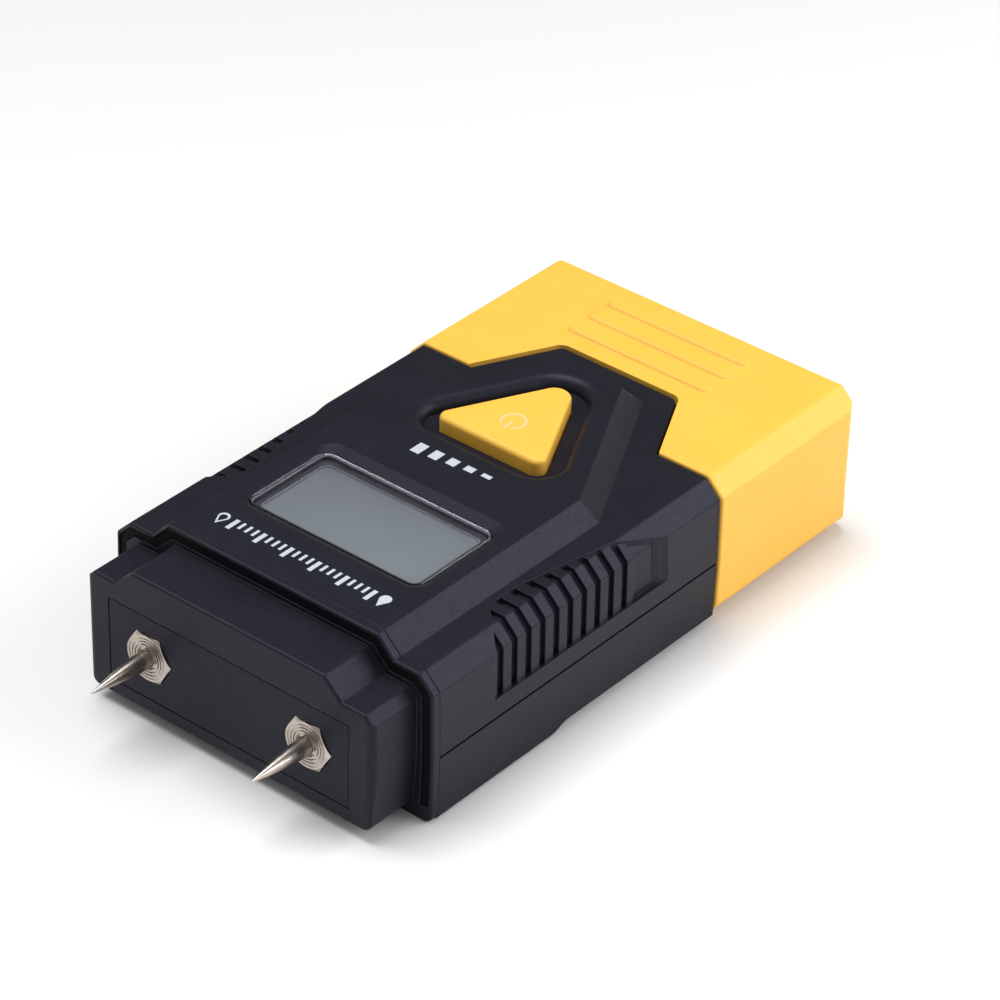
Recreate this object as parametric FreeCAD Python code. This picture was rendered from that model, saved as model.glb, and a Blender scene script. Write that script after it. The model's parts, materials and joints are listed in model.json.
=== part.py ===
"""Two-pin wood moisture meter: black two-part case, screw-in electrode pins, LCD, one
triangular key and a yellow end cap that slips off the battery end.  Millimetres.

Working frame: X across the case, Y from the pins (-Y) to the end cap (+Y), Z up.
Z = 0 is the parting plane of the case and Y = 0 is the plane of its front rim.
Everything is moved at the end so the origin sits on the rest plane, under the middle.
"""

import FreeCAD, Part
import math
import os

V = FreeCAD.Vector

# ---- case ------------------------------------------------------------------------
HALF_W = 31.0            # half width at the parting plane
SIDE_TOP_X = 30.8        # half width where the upper chamfer starts (moulding draft)
SIDE_TOP_Z = 11.2
SHOULDER_X = 28.0        # top of the chamfer
SHOULDER_Z = 14.0
PANEL_Z = 17.1           # raised panel that carries the display and the key
PANEL_X = 20.4
PANEL_BEND_Y = 45.2
PANEL_END_X = 6.0
PANEL_END_Y = 73.2
PANEL_BEVEL = 3.1
BOTTOM_Z = -11.6
BOTTOM_X = 30.75
BOTTOM_R = 0.9
REAR_FLOOR_Z = -10.0     # the sides step up behind the front third
STEP_Y0 = 26.0
STEP_Y1 = 30.6
BELLY_X = 22.0           # flat belly that keeps the rest plane
CASE_Y1 = 66.0
WALL = 2.2
REVEAL_H = 0.5           # shadow gap at the parting plane
REVEAL_D = 0.5

# ---- nose block: nose and the front ring that closes the case --------------------
RING_T = 1.44
SHELL_Y0 = 1.58          # the shells start behind a fine seam
RING_EDGE_R = 0.4
GROOVE_OUT = 0.55        # cover groove in the ring's face: insets of its two walls
GROOVE_IN = 2.1
GROOVE_D = 0.8
SEAL_Y0 = 0.2            # face of the seal that fills the groove
GROOVE_Z0 = -8.7
PLUG_Y1 = 3.1            # plug that sits inside the shells
NOSE_Y = -9.4
NOSE_X = 27.9
NOSE_TOP_Z = 14.3
NOSE_BOTTOM_Z = -9.45
NOSE_WALL_Y = -5.7       # inner face of the nose's front wall
PLATE_X = 23.4           # inset front plate
PLATE_Z0 = -6.9
PLATE_Z1 = 7.8
PLATE_T = 2.2
PLATE_GAP = 0.12

# ---- electrode pins ----------------------------------------------------------------
PIN_X = 15.6
PIN_Z = 0.7
PIN_TIP_Y = -21.1
TIP_R = 0.12             # blunt end of the needle
HEX_AF = 7.8
STUD_R = 2.0

# ---- tail and end cap --------------------------------------------------------------
TAIL_X = 29.45
TAIL_TOP_Z = 12.45
TAIL_BOTTOM_Z = -8.15
TAIL_CHAMFER = 39.88     # x + z on the tail's chamfer
TAIL_Y1 = 98.9
TONGUE_X0 = 18.2         # shoulder-high tongue that fills the cap's notch
TONGUE_X1 = 11.3
TONGUE_Y1 = 80.2
BAY_X = 27.85
BAY_Z0 = -6.6
BAY_Z1 = 10.8
BAY_Y0 = 68.0
LEAD_SLOT_X0 = 16.0      # slot in the dividing wall for the battery leads
LEAD_SLOT_X1 = 27.3
CAP_X = 31.3
CAP_TOP_Z = 14.3
CAP_BOTTOM_Z = -10.0
CAP_Y0 = 66.35
CAP_Y1 = 101.0
CAP_WALL = 1.6
NOTCH_GAP = 0.45
CAP_RIB_Y0 = 85.1        # three thumb ribs
CAP_RIB_PITCH = 4.95
CAP_RIB_X = 14.1
CAP_RIB_W = 2.3
CAP_RIB_H = 0.45

# ---- display and key ---------------------------------------------------------------
LENS_X = 16.75
LENS_Y0 = 12.6
LENS_Y1 = 30.7
LENS_Z0 = 15.6
LENS_Z1 = 16.8
VIEW_X = 16.3
VIEW_Y0 = 13.05
VIEW_Y1 = 30.25
LCD_MID_Y = 21.4
KEY_Y0 = 48.0
KEY_X = 11.1
KEY_APEX_Y = 70.0
KEY_TOP_Z = 17.6
KEY_GAP = 0.25
KEY_TRAVEL = 0.7
FLANGE_W = 1.2           # rim under the guide that keeps the key in the case
FLANGE_Z = 13.9
WELL_Z = 15.0            # floor of the well round the key
WELL_GROW = 2.6
WELL_R = 2.0             # soft upper edge of the well
SWITCH_Y = 55.0

# ---- grip ---------------------------------------------------------------------------
GRIP_Y0 = 15.2
GRIP_PITCH = 3.16
GRIP_COUNT = 10
GRIP_SLOT_W = 1.35
GRIP_Z0 = 3.1

# ---- electronics --------------------------------------------------------------------
BOARD_Z0 = 7.4
BOARD_Z1 = 9.0
BOARD_X = 25.5
BOARD_Y0 = 3.5
BOARD_Y1 = 62.0
CASE_SCREWS = [(24.2, 7.0), (-24.2, 7.0), (24.2, 60.5), (-24.2, 60.5)]
BOARD_SCREWS = [(22.6, 17.0), (-22.6, 17.0), (22.6, 42.0), (-22.6, 42.0)]

SHIFT = V(0, -(PIN_TIP_Y + CAP_Y1) / 2, -BOTTOM_Z)


def corner_wire(points, place):
    """Closed wire through (u, v, radius) corners, with a true arc at each radius."""
    corners = [(FreeCAD.Vector(p[0], p[1], 0), p[2] if len(p) > 2 else 0.0) for p in points]
    edges = []
    ends = []
    for i, (p, r) in enumerate(corners):
        back = (corners[i - 1][0] - p).normalize()
        ahead = (corners[(i + 1) % len(corners)][0] - p).normalize()
        if r <= 0:
            ends.append((p, None, p))
            continue
        half = math.acos(max(-1.0, min(1.0, back.dot(ahead)))) / 2
        run = r / math.tan(half)
        middle = (back + ahead).normalize()
        bulge = p + middle * (r / math.sin(half) - r)
        ends.append((p + back * run, bulge, p + ahead * run))
    for i, (start, bulge, stop) in enumerate(ends):
        before = ends[i - 1][2]
        if before.distanceToPoint(start) > 1e-6:
            edges.append(Part.makeLine(place(before), place(start)))
        if bulge is not None:
            edges.append(Part.Arc(place(start), place(bulge), place(stop)).toShape())
    return Part.Wire(Part.__sortEdges__(edges))


def prism_z(points, z0, z1):
    wire = corner_wire(points, lambda p: V(p.x, p.y, z0))
    return Part.Face(wire).extrude(V(0, 0, z1 - z0))


def prism_y(points, y0, y1):
    wire = corner_wire(points, lambda p: V(p.x, y0, p.y))
    return Part.Face(wire).extrude(V(0, y1 - y0, 0))


def prism_x(points, x0, x1):
    wire = corner_wire(points, lambda p: V(x0, p.x, p.y))
    return Part.Face(wire).extrude(V(x1 - x0, 0, 0))


def both(right):
    """Mirror a right-hand chain of (x, v, r) corners into a closed symmetric outline."""
    left = [(-p[0], p[1], p[2] if len(p) > 2 else 0.0) for p in reversed(right)]
    return list(right) + left


def box(x0, x1, y0, y1, z0, z1):
    return Part.makeBox(x1 - x0, y1 - y0, z1 - z0, V(x0, y0, z0))


def rod(x, y, z0, z1, r):
    return Part.makeCylinder(r, z1 - z0, V(x, y, z0), V(0, 0, 1))


def rod_y(x, z, y0, y1, r):
    return Part.makeCylinder(r, y1 - y0, V(x, y0, z), V(0, 1, 0))


def hex_y(x, z, y0, y1, flats):
    """Hexagonal prism along Y with one corner pointing sideways."""
    reach = flats / math.sqrt(3)
    ring = [(x + reach * math.cos(math.radians(60 * k)), z + reach * math.sin(math.radians(60 * k)))
            for k in range(6)]
    return prism_y(ring, y0, y1)


def mirror_x(shape):
    return shape.mirror(V(0, 0, 0), V(1, 0, 0))


def merge(shapes):
    out = shapes[0]
    for shape in shapes[1:]:
        out = out.fuse(shape)
    return out.removeSplitter()


def trim(shape, tools):
    for tool in tools:
        shape = shape.cut(tool)
    return shape


def chosen_edges(shape, test):
    return [e for e in shape.Edges if test(e.BoundBox)]


def tube_path(points, bend, r):
    """Round wire of radius r along straight runs joined by arcs of radius bend."""
    edges = []
    last = points[0]
    for i in range(1, len(points) - 1):
        p = points[i]
        back = (points[i - 1] - p).normalize()
        ahead = (points[i + 1] - p).normalize()
        half = math.acos(max(-1.0, min(1.0, back.dot(ahead)))) / 2
        run = bend / math.tan(half)
        bulge = p + (back + ahead).normalize() * (bend / math.sin(half) - bend)
        edges.append(Part.makeLine(last, p + back * run))
        edges.append(Part.Arc(p + back * run, bulge, p + ahead * run).toShape())
        last = p + ahead * run
    edges.append(Part.makeLine(last, points[-1]))
    spine = Part.Wire(edges)
    ring = Part.Wire(Part.makeCircle(r, points[0], (points[1] - points[0]).normalize()))
    return spine.makePipeShell([ring], True, False)


# ---- shared outlines -----------------------------------------------------------------
def upper_section(inset=0.0, base=0.0):
    """Case section above the parting plane, moved inwards by inset."""
    slope = (SHOULDER_X + SHOULDER_Z) - inset * math.sqrt(2)
    side = SIDE_TOP_X - inset
    top = SHOULDER_Z - inset
    return both([(HALF_W - inset, base), (side, slope - side, 0.7), (slope - top, top, 0.7)])


def panel_outline(grow):
    """Plan outline of the raised panel, moved outwards by grow."""
    run_x = PANEL_X - PANEL_END_X
    run_y = PANEL_END_Y - PANEL_BEND_Y
    length = math.hypot(run_x, run_y)
    nx = run_y / length
    ny = run_x / length
    reach = PANEL_X * nx + PANEL_BEND_Y * ny + grow
    bend_y = (reach - (PANEL_X + grow) * nx) / ny
    end_x = (reach - (PANEL_END_Y + grow) * ny) / nx
    return both([(PANEL_X + grow, 0.0), (PANEL_X + grow, bend_y), (end_x, PANEL_END_Y + grow)])


def panel_solid():
    """Raised panel with a 45 degree bevel round every edge but the front one."""
    block = prism_z(panel_outline(PANEL_BEVEL), 12.4, PANEL_Z)
    tops = chosen_edges(block, lambda b: b.ZMin > PANEL_Z - 0.01 and b.YMax > 1.0)
    block = block.makeChamfer(PANEL_BEVEL, tops)
    slant = chosen_edges(block, lambda b: 3.0 < b.ZLength < 3.2 and b.YMin > 1.0)
    return block.makeFillet(1.0, slant)


def nose_outline(inset=0.0):
    """Whole front outline of the nose."""
    return both([
        (NOSE_X - 0.5 - inset, NOSE_BOTTOM_Z + inset, 1.6),
        (NOSE_X - inset, 0.0),
        (NOSE_X - 0.05 - inset, 9.5 - 0.4 * inset, 0.6),
        (26.3 - 0.8 * inset, 11.05 - inset, 0.5),
        (22.0 - 0.5 * inset, 11.05 - inset, 0.5),
        (18.6 - 0.4 * inset, NOSE_TOP_Z - inset, 0.6),
    ])


def rim_outline(inset=0.0):
    """Whole front outline of the case, panel included, moved inwards."""
    side = SHOULDER_X + SHOULDER_Z - inset * math.sqrt(2)
    bevel = PANEL_X + PANEL_Z - inset * math.sqrt(2)
    top = SHOULDER_Z - inset
    soft = 0.7 if inset < 1 else 0.3
    return both([
        (BOTTOM_X - inset, BOTTOM_Z + inset, max(BOTTOM_R + 0.5 - inset, 0.3)),
        (HALF_W - inset, 0.0),
        (SIDE_TOP_X - inset, side - SIDE_TOP_X + inset, soft),
        (side - top, top, soft),
        (bevel - top, top, 0.2),
        (bevel - PANEL_Z + inset, PANEL_Z - inset, 0.3),
    ])


def tongue_outline(grow, y0):
    run_x = TONGUE_X0 - TONGUE_X1
    run_y = TONGUE_Y1 - 66.5
    length = math.hypot(run_x, run_y)
    reach = (TONGUE_X0 * run_y + 66.5 * run_x) / length + grow
    y1 = TONGUE_Y1 + grow
    x0 = (reach * length - y0 * run_x) / run_y
    x1 = (reach * length - y1 * run_x) / run_y
    return both([(x0, y0), (x1, y1, 1.6 + grow)])


def key_outline(grow, front=None):
    """Rounded triangle of the key, base towards the display, moved outwards by grow."""
    slope = math.atan2(KEY_APEX_Y - KEY_Y0, KEY_X)
    base = KEY_Y0 - (grow if front is None else front)
    reach = KEY_APEX_Y * math.cos(slope) + grow
    corner = (reach - base * math.cos(slope)) / math.sin(slope)
    apex = reach / math.cos(slope)
    return [(-corner, base, 1.6 + grow), (corner, base, 1.6 + grow), (0.0, apex, 2.6 + grow)]


def plan_corners(x, y0, y1, r):
    return [(-x, y0, r), (x, y0, r), (x, y1), (-x, y1)]


# ---- case shells -----------------------------------------------------------------------
def grip_tools():
    """Recess with upright slots, following the case side round onto the shoulder."""
    window = [(24.7, 19.4, 1.5), (33.0, 11.7), (33.0, 61.3), (28.2, 44.0, 3.0), (24.8, 25.5, 4.0)]
    zone = prism_z(window, GRIP_Z0, 16.0)
    dish_core = prism_y(upper_section(0.35, -1.0), 0.0, 66.0)
    slot_core = prism_y(upper_section(1.15, -1.0), 0.0, 66.0)
    skin = prism_y(upper_section(-0.5, -1.0), 0.0, 66.0)
    hollow = zone.common(skin)
    dish = hollow.cut(dish_core)
    deep = hollow.cut(slot_core)
    tools = [dish]
    for i in range(GRIP_COUNT):
        mid = GRIP_Y0 + i * GRIP_PITCH
        tools.append(deep.common(box(20, 34, mid - GRIP_SLOT_W / 2, mid + GRIP_SLOT_W / 2, 0, 16)))
    last = GRIP_Y0 + (GRIP_COUNT - 1) * GRIP_PITCH
    pocket_core = prism_y(upper_section(0.8, -1.0), 0.0, 66.0)
    pocket = hollow.cut(pocket_core)
    ramp = [(20.0, last + 2.2), (34.0, last + 2.2), (34.0, 54.0), (31.0, 54.0), (30.1, 50.6),
            (20.0, 50.6)]
    tools.append(pocket.common(prism_z(ramp, 0, 16)))
    right = tools[0]
    for tool in tools[1:]:
        right = right.fuse(tool)
    return [right, mirror_x(right)]


def well_tool():
    """Rounded triangular well round the key, with a large soft upper edge."""
    slab = prism_z(key_outline(7.0), WELL_Z, PANEL_Z)
    ring = slab.cut(prism_z(key_outline(WELL_GROW), WELL_Z - 1, PANEL_Z + 1))
    lip = chosen_edges(ring, lambda b: b.ZMin > PANEL_Z - 0.01 and b.YMax < 72.0 and b.YMin > 42.5
                       and abs(b.XMax) < 16 and abs(b.XMin) < 16)
    ring = ring.makeFillet(WELL_R, lip)
    return prism_z(key_outline(6.5), WELL_Z, PANEL_Z + 0.5).cut(ring)


def front_tools():
    """Seat of the front plate and the two shank holes."""
    x = PLATE_X + PLATE_GAP
    y1 = NOSE_Y + PLATE_T
    seat = box(-x, x, NOSE_Y - 1, y1, PLATE_Z0 - PLATE_GAP, PLATE_Z1 + PLATE_GAP)
    r = STUD_R + 0.15
    return [seat] + [rod_y(s * PIN_X, PIN_Z, NOSE_Y, NOSE_WALL_Y + 1, r) for s in (-1, 1)]


def screw_posts(z0, z1, r):
    return [rod(x, y, z0, z1, r) for x, y in CASE_SCREWS]


def upper_shell():
    case = prism_y(upper_section(), SHELL_Y0, CASE_Y1)
    panel = panel_solid().common(box(-40, 40, SHELL_Y0, 90, 0, 30))
    case = case.fuse(panel).removeSplitter()
    chamfer_z = TAIL_CHAMFER - TAIL_X
    tail_side = [(TAIL_X, 0.0), (TAIL_X, chamfer_z, 0.7), (TAIL_CHAMFER - TAIL_TOP_Z, TAIL_TOP_Z, 0.7)]
    tail = prism_y(both(tail_side), CASE_Y1 - 2.0, TAIL_Y1)
    tail_rims = chosen_edges(tail, lambda b: b.YMin > TAIL_Y1 - 0.01 and b.ZMax > 0.05)
    tail = tail.makeChamfer(0.5, tail_rims)
    tongue = prism_z(tongue_outline(0.0, CASE_Y1 - 2.0), 11.0, SHOULDER_Z)
    tongue_top = chosen_edges(tongue, lambda b: b.ZMin > SHOULDER_Z - 0.01 and b.YMax > CASE_Y1)
    tongue = tongue.makeFillet(0.35, tongue_top)
    body = merge([case, tail, tongue])
    hollow = [
        prism_y(upper_section(WALL, -1.0), 0.0, 64.0),
        prism_z(both([(19.4, 0.0), (19.4, 44.8), (10.6, 62.0), (9.5, 64.0)]), 11.0, 15.1),
        prism_y(rim_outline(WALL), 0.0, PLUG_Y1 + 0.1),
        box(-BAY_X, BAY_X, BAY_Y0, TAIL_Y1 + 1, -1.0, BAY_Z1),
        box(LEAD_SLOT_X0, LEAD_SLOT_X1, 63.5, 68.8, -1.0, 6.0),
    ]
    body = trim(body, hollow)
    posts = [p.common(prism_y(upper_section(0.5), 1.0, 65.0)) for p in screw_posts(0.0, 13.0, 3.1)]
    studs = [rod(x, y, BOARD_Z1, 13.0, 2.4) for x, y in BOARD_SCREWS]
    key_guide = prism_z(key_outline(WELL_GROW + 1.4), FLANGE_Z - 0.2, 15.4)
    key_guide = key_guide.cut(prism_z(key_outline(KEY_GAP), 13.0, 16.0))
    body = merge([body] + posts + studs + [key_guide])
    lens_seat = prism_z(rounded_rect(LENS_X + 0.15, LENS_Y0 - 0.15, LENS_Y1 + 0.15, 2.15), LENS_Z0, 18.0)
    view = prism_z(rounded_rect(VIEW_X, VIEW_Y0, VIEW_Y1, 0.8), 14.0, 16.5)
    key_hole = prism_z(key_outline(KEY_GAP), 13.0, 18.0)
    flange_room = prism_z(key_outline(FLANGE_W + 0.3), 12.0, FLANGE_Z + 0.1)
    pilots = [rod(x, y, -1.0, 11.4, 1.15) for x, y in CASE_SCREWS]
    board_pilots = [rod(x, y, BOARD_Z1 - 1, 12.6, 0.85) for x, y in BOARD_SCREWS]
    cuts = [lens_seat, lens_bevel(), view, well_tool(), key_hole, flange_room]
    return trim(body, cuts + pilots + board_pilots + grip_tools())


def rounded_rect(x, y0, y1, r):
    return [(-x, y0, r), (x, y0, r), (x, y1, r), (-x, y1, r)]


def lens_bevel():
    """Shallow bevelled frame that sinks the display window into the panel."""
    low = corner_wire(rounded_rect(LENS_X + 0.15, LENS_Y0 - 0.15, LENS_Y1 + 0.15, 2.15),
                      lambda p: V(p.x, p.y, LENS_Z1 - 0.1))
    high = corner_wire(rounded_rect(LENS_X + 1.3, LENS_Y0 - 1.1, LENS_Y1 + 2.2, 3.0),
                       lambda p: V(p.x, p.y, PANEL_Z + 0.02))
    return Part.makeLoft([low, high], True, True)


def lower_shell():
    outer = both([(BOTTOM_X, BOTTOM_Z, BOTTOM_R), (HALF_W, 0.0)])
    case = prism_y(outer, SHELL_Y0, CASE_Y1)
    wedge = [(STEP_Y0, BOTTOM_Z - 0.01), (STEP_Y1, REAR_FLOOR_Z, 1.5), (CASE_Y1 + 1, REAR_FLOOR_Z),
             (CASE_Y1 + 1, BOTTOM_Z - 1), (STEP_Y0, BOTTOM_Z - 1)]
    side_step = prism_x(wedge, BELLY_X, HALF_W + 1)
    case = trim(case, [side_step, mirror_x(side_step)])
    tail = prism_y(both([(TAIL_X - 0.1, TAIL_BOTTOM_Z, 1.2), (TAIL_X, 0.0)]), CASE_Y1 - 2.0, TAIL_Y1)
    tail_rims = chosen_edges(tail, lambda b: b.YMin > TAIL_Y1 - 0.01 and b.ZMin < -0.05)
    tail = tail.makeChamfer(0.5, tail_rims)
    body = merge([case, tail])
    hollow = [
        prism_y(rim_outline(WALL), 0.0, 4.2),
        box(-28.6, 28.6, 4.0, 64.0, -8.0, 1.0),
        box(-20.5, 20.5, 4.0, 61.5, -9.2, 1.0),
        box(-BAY_X, BAY_X, BAY_Y0, TAIL_Y1 + 1, BAY_Z0, 1.0),
        box(LEAD_SLOT_X0, LEAD_SLOT_X1, 63.5, 68.8, -3.0, 1.0),
    ]
    body = trim(body, hollow)
    body = merge([body] + screw_posts(-9.0, -0.2, 3.4))
    reveal = [box(s * 35 - 5 + s * (HALF_W - REVEAL_D - 30), s * 35 + 5 + s * (HALF_W - REVEAL_D - 30), 0,
                  CASE_Y1 + 0.01, -REVEAL_H, 0.1) for s in (-1, 1)]
    through = [rod(x, y, -14, 1, 1.4) for x, y in CASE_SCREWS]
    heads = [rod(x, y, -14, -6.8, 2.8) for x, y in CASE_SCREWS]
    label_seat = prism_z(rounded_rect(15.2, 32.8, 55.2, 1.7), BOTTOM_Z - 1, BOTTOM_Z + 0.3)
    return trim(body, reveal + through + heads + [label_seat])


# ---- nose block ---------------------------------------------------------------------------
def groove_band(gap, y0, y1):
    """Band that follows the case outline between the two walls of the cover groove."""
    band = prism_y(rim_outline(GROOVE_OUT + gap), y0, y1)
    band = band.cut(prism_y(rim_outline(GROOVE_IN - gap), y0 - 1, y1 + 1))
    return band.common(box(-40, 40, y0 - 1, y1 + 1, GROOVE_Z0 + gap, 30))


def cover_seal():
    seal = groove_band(0.04, SEAL_Y0, GROOVE_D - 0.02)
    front = chosen_edges(seal, lambda b: b.YMax < SEAL_Y0 + 0.01)
    return seal.makeChamfer(0.08, front)


def nose_block():
    """Electrode holder: nose, front ring with a cover groove, and a plug inside the shells."""
    ring = prism_y(rim_outline(), 0.0, RING_T)
    ring = ring.makeFillet(RING_EDGE_R, chosen_edges(ring, lambda b: b.YMax < 0.01))
    ring = ring.cut(groove_band(0.0, -1.0, GROOVE_D))
    nose = prism_y(nose_outline(), NOSE_Y, RING_T)
    nose = nose.makeFillet(0.45, chosen_edges(nose, lambda b: b.YMax < NOSE_Y + 0.01))
    nose = nose.common(prism_z(plan_corners(NOSE_X, NOSE_Y, 4.0, 1.3), -20, 20))
    plug = prism_y(rim_outline(WALL + 0.06), RING_T - 0.2, PLUG_Y1)
    body = merge([ring, nose, plug])
    hollow = both([(25.3, -7.2, 1.5), (25.7, 0.0), (25.7, 8.4, 0.4), (24.6, 8.9, 0.4), (20.9, 8.9, 0.4),
                   (17.7, NOSE_TOP_Z - 2.1, 0.4)])
    cavity = prism_y(hollow, NOSE_WALL_Y, PLUG_Y1 + 1)
    return trim(body, [cavity] + front_tools())


def front_plate():
    plate = box(-PLATE_X, PLATE_X, NOSE_Y, NOSE_Y + PLATE_T - 0.05, PLATE_Z0, PLATE_Z1)
    front = chosen_edges(plate, lambda b: b.YMax < NOSE_Y + 0.01)
    plate = plate.makeChamfer(0.15, front)
    for s in (-1, 1):
        plate = plate.cut(hex_y(s * PIN_X, PIN_Z, NOSE_Y - 1, NOSE_Y + 1.5, HEX_AF + 0.2))
        plate = plate.cut(rod_y(s * PIN_X, PIN_Z, NOSE_Y, NOSE_Y + 4, STUD_R + 0.15))
    return plate


# ---- electrodes --------------------------------------------------------------------------
def electrode_pin(side):
    """Hexagon foot with a turned dish, threaded shank and a slightly bellied needle."""
    x = side * PIN_X
    face = NOSE_Y - 0.35
    foot = hex_y(x, PIN_Z, face, NOSE_Y + 1.45, HEX_AF)
    dome = [V(0, face - 0.02, 0), V(3.85, face - 0.02, 0), V(4.6, face + 0.45, 0), V(4.6, NOSE_Y + 1.5, 0),
            V(0, NOSE_Y + 1.5, 0), V(0, face - 0.02, 0)]
    spin = Part.Face(Part.makePolygon(dome)).revolve(V(0, 0, 0), V(0, 1, 0), 360)
    spin.translate(V(x, 0, PIN_Z))
    foot = foot.common(spin)
    rings = [(3.55, 3.25, 0.12), (3.0, 2.72, 0.2), (2.45, 2.2, 0.3)]
    for outer, inner, depth in rings:
        groove = rod_y(x, PIN_Z, face - 0.1, face + depth, outer)
        foot = foot.cut(groove.cut(rod_y(x, PIN_Z, face - 0.2, face + depth + 0.1, inner)))
    foot = foot.cut(rod_y(x, PIN_Z, face - 0.1, face + 0.45, 1.95))
    root = face + 0.6
    bore = [V(0, root, 0), V(1.25, root, 0), V(1.5, root - 0.7, 0)]
    tip = V(TIP_R, PIN_TIP_Y, 0)
    belly = Part.Arc(bore[2], V(1.02, -15.6, 0), tip).toShape()
    edges = [Part.makeLine(bore[0], bore[1]), Part.makeLine(bore[1], bore[2]), belly,
             Part.makeLine(tip, V(0, PIN_TIP_Y, 0)), Part.makeLine(V(0, PIN_TIP_Y, 0), bore[0])]
    needle = Part.Face(Part.Wire(edges)).revolve(V(0, 0, 0), V(0, 1, 0), 360)
    needle.translate(V(x, 0, PIN_Z))
    shank = rod_y(x, PIN_Z, NOSE_Y + 1.4, -0.8, STUD_R)
    shank = shank.makeChamfer(0.4, chosen_edges(shank, lambda b: b.YMin > -0.81))
    return merge([foot, needle, shank])


def electrode_nuts():
    parts = []
    for s in (-1, 1):
        nut = hex_y(s * PIN_X, PIN_Z, NOSE_WALL_Y + 0.6, NOSE_WALL_Y + 3.6, 7.0)
        parts.append(nut.cut(rod_y(s * PIN_X, PIN_Z, -9, 3, STUD_R + 0.03)))
    return Part.makeCompound(parts)


def contact_tags():
    """Ring tags under the nuts, with a short solder tail pointing down."""
    parts = []
    for s in (-1, 1):
        ring = rod_y(s * PIN_X, PIN_Z, NOSE_WALL_Y + 0.02, NOSE_WALL_Y + 0.55, 3.4)
        tail = box(s * PIN_X - 1.2, s * PIN_X + 1.2, NOSE_WALL_Y + 0.02, NOSE_WALL_Y + 0.55, -6.2, -1.5)
        parts.append(merge([ring, tail]).cut(rod_y(s * PIN_X, PIN_Z, -9, 3, STUD_R + 0.05)))
    return Part.makeCompound(parts)


def electrode_lead(side):
    x = side * PIN_X
    points = [V(x, NOSE_WALL_Y + 0.56, -5.6), V(x, -1.6, -5.6), V(side * 19.5, 5.5, -4.2),
              V(side * 19.5, 7.0, BOARD_Z0 - 0.1)]
    return tube_path(points, 1.6, 0.6)


# ---- display -------------------------------------------------------------------------------
def lens_window():
    lens = prism_z(rounded_rect(LENS_X, LENS_Y0, LENS_Y1, 2.0), LENS_Z0 + 0.02, LENS_Z1)
    top = chosen_edges(lens, lambda b: b.ZMin > LENS_Z1 - 0.01)
    return lens.makeChamfer(0.3, top)


def lcd_glass():
    """Two bonded glass plates: the lower one is longer and carries the contact ledge."""
    front = box(-17.2, 17.2, LCD_MID_Y - 8.6, LCD_MID_Y + 9.4, 13.95, 15.02)
    back = box(-17.2, 17.2, LCD_MID_Y - 9.6, LCD_MID_Y + 9.4, 12.9, 14.0)
    return merge([front, back])


def lcd_reflector():
    return box(-16.2, 16.2, LCD_MID_Y - 6.8, LCD_MID_Y + 6.8, 12.65, 12.88)


def lcd_holder():
    frame = box(-18.6, 18.6, LCD_MID_Y - 11.0, LCD_MID_Y + 10.8, BOARD_Z1 + 0.02, 14.6)
    frame = frame.cut(box(-17.3, 17.3, LCD_MID_Y - 9.7, LCD_MID_Y + 9.5, 5, 16))
    shelf = [box(-17.5, 17.5, LCD_MID_Y - 6.95, LCD_MID_Y - 6.9 + 0.9, BOARD_Z1 + 0.02, 12.6),
             box(-17.5, 17.5, LCD_MID_Y + 6.0, LCD_MID_Y + 6.9, BOARD_Z1 + 0.02, 12.6)]
    return merge([frame] + shelf)


def zebra_strips():
    return Part.makeCompound([
        box(-16.8, 16.8, LCD_MID_Y - 9.2, LCD_MID_Y - 7.2, BOARD_Z1 + 0.02, 12.88),
        box(-16.8, 16.8, LCD_MID_Y + 7.2, LCD_MID_Y + 9.2, BOARD_Z1 + 0.02, 12.88),
    ])


# ---- key and switch ---------------------------------------------------------------------------
def key_button():
    cap = prism_z(key_outline(0.0), FLANGE_Z - 1.0, KEY_TOP_Z)
    rim = chosen_edges(cap, lambda b: b.ZMin > KEY_TOP_Z - 0.01)
    cap = cap.makeFillet(0.8, rim)
    flange = prism_z(key_outline(FLANGE_W), FLANGE_Z - 1.0, FLANGE_Z)
    body = merge([cap, flange])
    body = body.cut(prism_z(key_outline(-1.5), 12.0, 16.1))
    boss = rod(0, SWITCH_Y, 13.35, 16.3, 2.6)
    ribs = box(-0.6, 0.6, SWITCH_Y - 5.0, SWITCH_Y + 8.0, 14.2, 16.3)
    return merge([body, boss, ribs])


def tact_switch():
    body = box(-3.0, 3.0, SWITCH_Y - 3.0, SWITCH_Y + 3.0, BOARD_Z1 + 0.02, 12.2)
    body = body.makeChamfer(0.3, chosen_edges(body, lambda b: b.ZMin > 12.19))
    return body.cut(rod(0, SWITCH_Y, 9.6, 13.0, 1.8))


def switch_plunger():
    stem = rod(0, SWITCH_Y, 10.6, 13.3, 1.72)
    return stem.makeFillet(0.3, chosen_edges(stem, lambda b: b.ZMin > 13.29))


# ---- board ---------------------------------------------------------------------------------------
def circuit_board():
    board = prism_z([(-BOARD_X, BOARD_Y0, 1), (BOARD_X, BOARD_Y0, 1), (BOARD_X, BOARD_Y1, 1),
                     (-BOARD_X, BOARD_Y1, 1)], BOARD_Z0, BOARD_Z1)
    bites = [rod(x, y, 0, 20, 3.6) for x, y in CASE_SCREWS]
    corners = []
    for x, y in CASE_SCREWS:
        x_far = math.copysign(BOARD_X + 5, x)
        y_far = 0.0 if y < 30 else 70.0
        corners.append(box(min(x, x_far), max(x, x_far), min(y, y_far), max(y, y_far), 0, 20))
    holes = [rod(x, y, 0, 20, 1.1) for x, y in BOARD_SCREWS]
    return trim(board, bites + corners + holes)


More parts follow.
